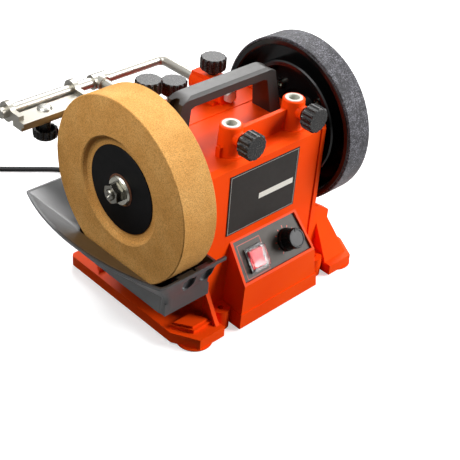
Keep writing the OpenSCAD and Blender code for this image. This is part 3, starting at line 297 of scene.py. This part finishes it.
ZINC = linear(186, 185, 178)
SLOT_MATERIALS = {
    "orange_shell": orange_shell(),
    "black_knob": scuffed_knob(),
    "clear_cover": clear_boot(),
    "stone": grit_stone(),
    "fibre": fibre_board(),
    "leather": strop_leather(),
    "ground_steel": turned_metal("ground_steel", linear(190, 190, 188), rough=0.28),
    "chrome_bar": turned_metal("bright_chrome", linear(172, 169, 160), rough=0.36, lines=1500),
    "black_steel": turned_metal("black_steel", linear(60, 60, 62), rough=0.4),
    "zinc_steel": turned_metal("bright_zinc", ZINC, rough=0.26),
    "rubber": moulded("foot_rubber", linear(34, 34, 35), rough=0.8, grain=900, depth=0.2, specular=0.2),
    "roller_rubber": moulded("roller_rubber", linear(40, 40, 42), rough=0.75, grain=900, depth=0.2,
                             specular=0.2),
    "grey_panel": moulded("panel_grey", linear(72, 66, 60), rough=0.5, grain=900, depth=0.08, specular=0.25),
    "switch_black": moulded("switch_black", linear(20, 20, 21), rough=0.25, grain=1200, depth=0.05,
                            specular=0.3),
    "rocker_red": moulded("rocker_red", linear(234, 36, 50), rough=0.2, grain=600, depth=0.04),
    "circuit": moulded("circuit_green", linear(30, 96, 58), rough=0.5, grain=800, depth=0.1),
    "handle_grey": moulded("handle_grey", linear(42, 39, 37), rough=0.42, grain=800, depth=0.15,
                           specular=0.42),
    "white_bush": moulded("bush_white", linear(190, 190, 178), rough=0.4, grain=700, depth=0.06, drift=0.05,
                          specular=0.3),
    "motor_grey": moulded("motor_paint", linear(96, 96, 98), rough=0.4, grain=500, depth=0.1),
    "disc_black": moulded("disc_black", linear(9, 9, 10), rough=0.45, grain=700, depth=0.06, specular=0.08),
    "wheel_black": moulded("wheel_black", linear(13, 13, 14), rough=0.2, grain=500, depth=0.05,
                           specular=0.4),
    "tray_grey": moulded("tray_grey", linear(34, 34, 35), rough=0.42, grain=900, depth=0.02, Coat_Weight=1.0,
                         Coat_Roughness=0.36),
    "cord_black": moulded("lead_black", linear(26, 26, 27), rough=0.5, grain=800, depth=0.1, specular=0.3),
    "tie_grey": moulded("tie_grey", linear(90, 90, 92), rough=0.5, grain=800, depth=0.1),
}
THREAD_Y = threaded("zinc_thread_y", ZINC, "Y")
THREAD_Z = threaded("zinc_thread_z", ZINC, "Z")
DULL_ZINC = turned_metal("dull_zinc", linear(128, 126, 118), rough=0.2, lines=1800)
# Nodes that look unlike the rest of their slot
NODE_MATERIALS = {
    "front_left_stud": THREAD_Y,
    "front_right_stud": THREAD_Y,
    "rear_left_stud": THREAD_Z,
    "rear_right_stud": THREAD_Z,
    "jig_screw": THREAD_Z,
    "stone_nut": DULL_ZINC,
    "main_shaft": DULL_ZINC,
    "ring_screws": DULL_ZINC,
    "stone_washer": turned_metal("washer_zinc", linear(186, 184, 172), rough=0.24, lines=900),
    "sleeve_end_bolts": turned_metal("plated_bolt", linear(205, 203, 196), rough=0.34, axis="Y", lines=900,
                                     metallic=0.45),
    "speed_dial": moulded("dial_black", linear(20, 20, 21), rough=0.24, grain=600, depth=0.1, specular=0.13),
    "rating_plate": moulded("plate_black", linear(46, 43, 41), rough=0.5, grain=900, depth=0.05,
                            specular=0.15),
}
RED_INK = print_ink("red_ink", linear(214, 74, 40))
LIGHT_INK = print_ink("light_ink", linear(176, 172, 166))
PALE_INK = print_ink("pale_ink", linear(226, 222, 212))

for name, obj in nodes.items():
    obj.data.materials.clear()
    obj.data.materials.append(NODE_MATERIALS.get(name, SLOT_MATERIALS[slot_of_node[name]]))


# The mains lead: the route of the solid, made smooth

CORD_D = 6.5
ROUTE = [
    (0, 104, 40), (0, 112, 40), (0, 125, 39), (-1, 138, 34), (-2, 150, 27), (-3, 162, 19),
    (-4, 175, 11.5), (-5, 190, 6), (-6, 206, 3.6), (-7, 222, 3.3), (-9, 238, 3.3), (-14, 254, 3.3),
    (-21, 268, 3.3), (-31, 280, 3.3), (-44, 291, 3.3), (-59, 302.5, 3.3), (-75, 315, 3.3),
    (-91, 327.5, 3.3), (-107, 340, 3.6), (-121, 351, 4.4), (-130, 358, 4.75), (-139, 365, 4.75),
]
ROUTE_PARTS = 3
# Coil: height of its lower layer, inner radius, and the pitch from turn to turn and from layer to layer
COIL_Z = 4.75
COIL_R = 26.5
COIL_PITCH = 7.1
# Turns inwards below, turns in all, the share of a turn that climbs to the upper layer, and points a turn
TURNS_IN = 3.25
TURNS = 6.375
TURNS_CLIMB = 0.5
TURN_STEPS = 24


def coil_points():
    """A flat spiral to the middle and out again on top, with a straight end for the plug."""
    (x0, y0, _), (x1, y1, _) = ROUTE[-2:]
    heading = math.atan2(y1 - y0, x1 - x0)
    first = heading - math.pi / 2
    start_r = COIL_R + COIL_PITCH * TURNS_IN
    mid_x = x1 + CORD_D * math.cos(heading) - start_r * math.cos(first)
    mid_y = y1 + CORD_D * math.sin(heading) - start_r * math.sin(first)
    points = []
    for i in range(int(TURNS * TURN_STEPS) + 1):
        turn = i / TURN_STEPS
        angle = first + 2 * math.pi * turn
        r = COIL_R + COIL_PITCH * abs(turn - TURNS_IN)
        t = min(1, max(0, (turn - TURNS_IN) / TURNS_CLIMB + 0.5))
        climb = t * t * (3 - 2 * t)
        z = COIL_Z + COIL_PITCH * climb
        points.append((mid_x + r * math.cos(angle), mid_y + r * math.sin(angle), z))
    end = first + 2 * math.pi * TURNS + math.pi / 2
    x, y, z = points[-1]
    return points + [(x + k * CORD_D * math.cos(end), y + k * CORD_D * math.sin(end), z) for k in (1, 2)]


def smooth_line(points, parts):
    """A uniform Catmull-Rom spline through the points, with each stretch in parts."""
    made = []
    for i in range(len(points) - 1):
        a, b, c, d = points[max(0, i - 1)], points[i], points[i + 1], points[min(len(points) - 1, i + 2)]
        for k in range(parts):
            t = k / parts
            square = (2 * a - 5 * b + 4 * c - d) * t ** 2
            cube = (3 * b - 3 * c + d - a) * t ** 3
            made.append(0.5 * (2 * b + (c - a) * t + square + cube))
    return made + [points[-1]]


def tube(name, points, radius, resolution=4):
    """A closed round tube along a line."""
    curve = bpy.data.curves.new(name, "CURVE")
    curve.dimensions = "3D"
    curve.bevel_depth = radius
    curve.bevel_resolution = resolution
    curve.use_fill_caps = True
    spline = curve.splines.new("POLY")
    spline.points.add(len(points) - 1)
    for point, at in zip(spline.points, points):
        point.co = (*at, 1)
    return link(bpy.data.objects.new(name, curve))


line = smooth_line([Vector(p) * MM for p in ROUTE + coil_points()], ROUTE_PARTS)
lead = tube("mains_lead", line, CORD_D / 2 * MM)
lead.data.materials.append(SLOT_MATERIALS["cord_black"])
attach(lead, "machine")
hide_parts("mains_cord", "cord_coil")


# Rounded edges, as a mould or a tumbled casting leaves them

# Points within the weld become one, as do faces within the flat angle; edges past the sharp angle are rounded
WELD = 0.004
FLAT_ANGLE = math.radians(0.6)
SHARP_ANGLE = math.radians(32)
EDGE_SEGMENTS = 3
NORMAL_WEIGHT = 60
EDGE_WIDTHS = {
    "base_plate": 1.3, "housing": 1.2, "right_cover": 1.0, "carry_handle": 1.8, "control_panel": 0.3,
    "rating_plate": 0.25, "front_left_knob": 0.4, "front_right_knob": 0.4, "rear_left_knob": 0.4,
    "rear_right_knob": 0.4, "tension_knob": 0.4, "jig_knob": 0.4, "jig_frame": 0.9, "jig_clamp_plate": 0.8,
    "rocker": 0.5, "switch_bezel": 0.35, "switch_cover": 0.7, "speed_dial": 0.3, "stone_nut": 0.25,
    "wheel_nut": 0.25, "sleeve_end_bolts": 0.3, "front_bushes": 0.5, "rear_bushes": 0.5, "water_tray": 0.5,
    "mains_plug": 0.8, "cord_tie": 0.4, "tension_stud": 0.2, "support_bar": 0.3,
}


def rounded(name, width):
    """A copy of a node's own mesh with its sharp edges broken."""
    mesh = nodes[name].data.copy()
    mesh.name = name + ".edged"
    bm = bmesh.new()
    bm.from_mesh(mesh)
    bmesh.ops.remove_doubles(bm, verts=bm.verts, dist=WELD * MM)
    bmesh.ops.dissolve_limit(bm, angle_limit=FLAT_ANGLE, verts=bm.verts, edges=bm.edges)
    for face in bm.faces:
        face.smooth = True
    bm.to_mesh(mesh)
    bm.free()
    obj = link(bpy.data.objects.new(name + ".edged", mesh))
    edge = obj.modifiers.new("edge", "BEVEL")
    edge.width = width * MM
    edge.segments = EDGE_SEGMENTS
    edge.limit_method = "ANGLE"
    edge.angle_limit = SHARP_ANGLE
    edge.harden_normals = True
    even = obj.modifiers.new("even", "WEIGHTED_NORMAL")
    even.weight = NORMAL_WEIGHT
    even.keep_sharp = True
    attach(obj, body_of_node[name])
    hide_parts(name)
    return obj


edged = {name: rounded(name, width) for name, width in EDGE_WIDTHS.items()}


# Print on the control desk and on the rating plate: thin raised ink

DESK_SLOPE = math.radians(55)
DESK_TOP_Z = 100
DESK_LIP_Z = 58
BOX_FRONT_Y = -98
PANEL_DROP = 2.5
PLATE_Y = -69.8
DESK_INK = 0.08
PLATE_INK = 0.06
INK_WELD = 0.002
# Rectangles as left, right, bottom and top
SWITCH_FRAME = (-52, -18.5, -47, -8.5)
SWITCH_LINE = 0.45
PLATE_BORDER = (-65.6, 32.6, 110.9, 180.6)
PLATE_LINE = 0.5
PLATE_FIELD = (-23, 28.4, 139.6, 146.4)
DIAL_AT = Vector((15.5, -27))
TICKS = 11
LONG_TICK_EVERY = 5
FIRST_TICK = math.radians(230)
TICK_STEP = math.radians(28)
TICK_FROM = 13.6
TICK_TO = 15.9
LONG_TICK_TO = 16.8
TICK_HALF = 0.45

# A surface to print on: its origin, and the two axes that outlines are drawn in
desk_top = Vector((0, BOX_FRONT_Y + (DESK_TOP_Z - DESK_LIP_Z) / math.tan(DESK_SLOPE), DESK_TOP_Z))
desk_up = Vector((0, math.cos(DESK_SLOPE), math.sin(DESK_SLOPE)))
PANEL = (desk_top - X.cross(desk_up) * PANEL_DROP, X, desk_up)
PLATE = (Vector((0, PLATE_Y, 0)), X, Z)


def ink(name, outlines, surface, thick, material):
    """Flat shapes of ink, raised off a surface by their thickness; shapes that meet become one."""
    origin, axis_u, axis_v = surface
    bm = bmesh.new()
    for outline in outlines:
        bm.faces.new([bm.verts.new((origin + axis_u * u + axis_v * v) * MM) for u, v in outline])
    bmesh.ops.remove_doubles(bm, verts=bm.verts, dist=INK_WELD * MM)
    sheet = bm.verts[:] + bm.edges[:] + bm.faces[:]
    raised = bmesh.ops.extrude_face_region(bm, geom=sheet, use_keep_orig=True)["geom"]
    upper = [part for part in raised if isinstance(part, bmesh.types.BMVert)]
    bmesh.ops.translate(bm, verts=upper, vec=axis_u.cross(axis_v) * thick * MM)
    bmesh.ops.recalc_face_normals(bm, faces=bm.faces)
    mesh = bpy.data.meshes.new(name)
    bm.to_mesh(mesh)
    bm.free()
    mesh.materials.append(material)
    obj = link(bpy.data.objects.new(name, mesh))
    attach(obj, "machine")


def rectangle(left, right, bottom, top):
    return [(left, bottom), (right, bottom), (right, top), (left, top)]


def border(rect, width):
    """Four mitred strips along the inside of a rectangle."""
    left, right, bottom, top = rect
    outer = rectangle(*rect)
    inner = rectangle(left + width, right - width, bottom + width, top - width)
    return [[outer[i - 1], outer[i], inner[i], inner[i - 1]] for i in range(4)]


def tick(angle, reach):
    """A mark that points to the dial's middle."""
    along = Vector((math.cos(angle), math.sin(angle)))
    across = Vector((along.y, -along.x)) * TICK_HALF
    near = DIAL_AT + along * TICK_FROM
    far = DIAL_AT + along * reach
    return [near + across, far + across, far - across, near - across]


ticks = [tick(FIRST_TICK - i * TICK_STEP, TICK_TO if i % LONG_TICK_EVERY else LONG_TICK_TO)
         for i in range(TICKS)]
ink("switch_outline", border(SWITCH_FRAME, SWITCH_LINE), PANEL, DESK_INK, RED_INK)
ink("dial_scale", ticks, PANEL, DESK_INK, RED_INK)
ink("plate_field", [rectangle(*PLATE_FIELD)], PLATE, PLATE_INK, PALE_INK)
ink("plate_border", border(PLATE_BORDER, PLATE_LINE), PLATE, PLATE_INK, LIGHT_INK)


# Floor and light

WHITE = (1, 1, 1, 1)
FLOOR_R = 4
FLOOR_SIDES = 96
FLOOR_Z = -0.0002
# The floor glows more with distance from the machine, so that it is white beyond the machine's shadow
SHADOW_FROM = 0.4
SHADOW_TO = 1.5
GLOW_NEAR = 0.52
GLOW_FAR = 1.0
AMBIENT = 0.03
# The sky in reflections: from dark at a low height to white
SKY_LOW = 0.05
SKY_HIGH = 0.6
SKY_DARK = 0.07

MACHINE = (0, 0, 0.12)
STONE = (-0.16, 0, 0.165)
# Softboxes: place, what they point at, size and watts
SOFTBOXES = {
    "key": ((1.3, -1.25, 0.95), MACHINE, (1.0, 1.0), 61),
    "high": ((0.5, 0.5, 1.35), MACHINE, (0.65, 0.6), 11),
    "back": ((1.1, 1.1, 1.3), MACHINE, (0.8, 0.8), 18),
    "left": ((-0.45, 0.1, 0.6), STONE, (0.35, 0.35), 2.9),
}


def grey(value):
    return (value, value, value, 1)


def by_ray(tree, scattered, mirrored, seen):
    """A shader for scattered light, one for reflections, and one for the eye, also through clear pieces."""
    ray = add_node(tree, "LightPath").outputs
    lit = add_node(tree, "MixShader", {0: ray["Is Glossy Ray"], 1: scattered, 2: mirrored}).outputs[0]
    through = add_node(tree, "MixShader", {0: ray["Is Transmission Ray"], 1: lit, 2: seen}).outputs[0]
    return add_node(tree, "MixShader", {0: ray["Is Camera Ray"], 1: through, 2: seen}).outputs[0]


def stage_floor():
    """A floor that looks white, keeps the machine's shadow and throws little light back on it."""
    bm = bmesh.new()
    bmesh.ops.create_circle(bm, cap_ends=True, segments=FLOOR_SIDES, radius=FLOOR_R)
    mesh = bpy.data.meshes.new("floor")
    bm.to_mesh(mesh)
    bm.free()
    floor = link(bpy.data.objects.new("floor", mesh))
    floor.location.z = FLOOR_Z
    s = Shader("pale_floor", 0.9, specular=0.1, Base_Color=grey(0.08))
    away = s.node("VectorMath", {0: s.object_space}, operation="LENGTH").outputs["Value"]
    strength = s.span(away, GLOW_NEAR, GLOW_FAR, SHADOW_FROM, SHADOW_TO)
    glow = s.node("Emission", {"Color": WHITE, "Strength": strength}).outputs[0]
    pale = s.node("BsdfDiffuse", {"Color": grey(0.75)}).outputs[0]
    white = s.node("AddShader", {0: pale, 1: glow}).outputs[0]
    dull = s.node("BsdfDiffuse", {"Color": grey(0.45)}).outputs[0]
    surface = by_ray(s.tree, s.shader.outputs[0], dull, white)
    s.tree.links.new(surface, s.tree.nodes["Material Output"].inputs["Surface"])
    mesh.materials.append(s.material)


def studio_world():
    """White to the eye and through the clear cover; metal sees a sky that darkens towards the horizon."""
    world = bpy.data.worlds.new("studio")
    scene.world = world
    world.use_nodes = True
    tree = world.node_tree
    tree.nodes.clear()
    direction = add_node(tree, "TexCoord").outputs["Generated"]
    height = add_node(tree, "SeparateXYZ", {"Vector": direction}).outputs["Z"]
    inputs = {"Value": height, "From Min": SKY_LOW, "From Max": SKY_HIGH, "To Min": SKY_DARK, "To Max": 1.0}
    climb = add_node(tree, "MapRange", inputs).outputs[0]
    ambient, sky, white = (add_node(tree, "Background", {"Color": WHITE, "Strength": strength}).outputs[0]
                           for strength in (AMBIENT, climb, 1.0))
    add_node(tree, "OutputWorld", {"Surface": by_ray(tree, ambient, sky, white)})


def softbox(name, at, towards, size, watts):
    lamp = bpy.data.lights.new(name, "AREA")
    lamp.shape = "RECTANGLE"
    lamp.size, lamp.size_y = size
    lamp.energy = watts
    obj = link(bpy.data.objects.new(name, lamp))
    obj.location = at
    obj.rotation_euler = facing(at, towards).to_euler()


stage_floor()
studio_world()
for name, settings in SOFTBOXES.items():
    softbox(name, *settings)

scene.view_settings.view_transform = "Standard"
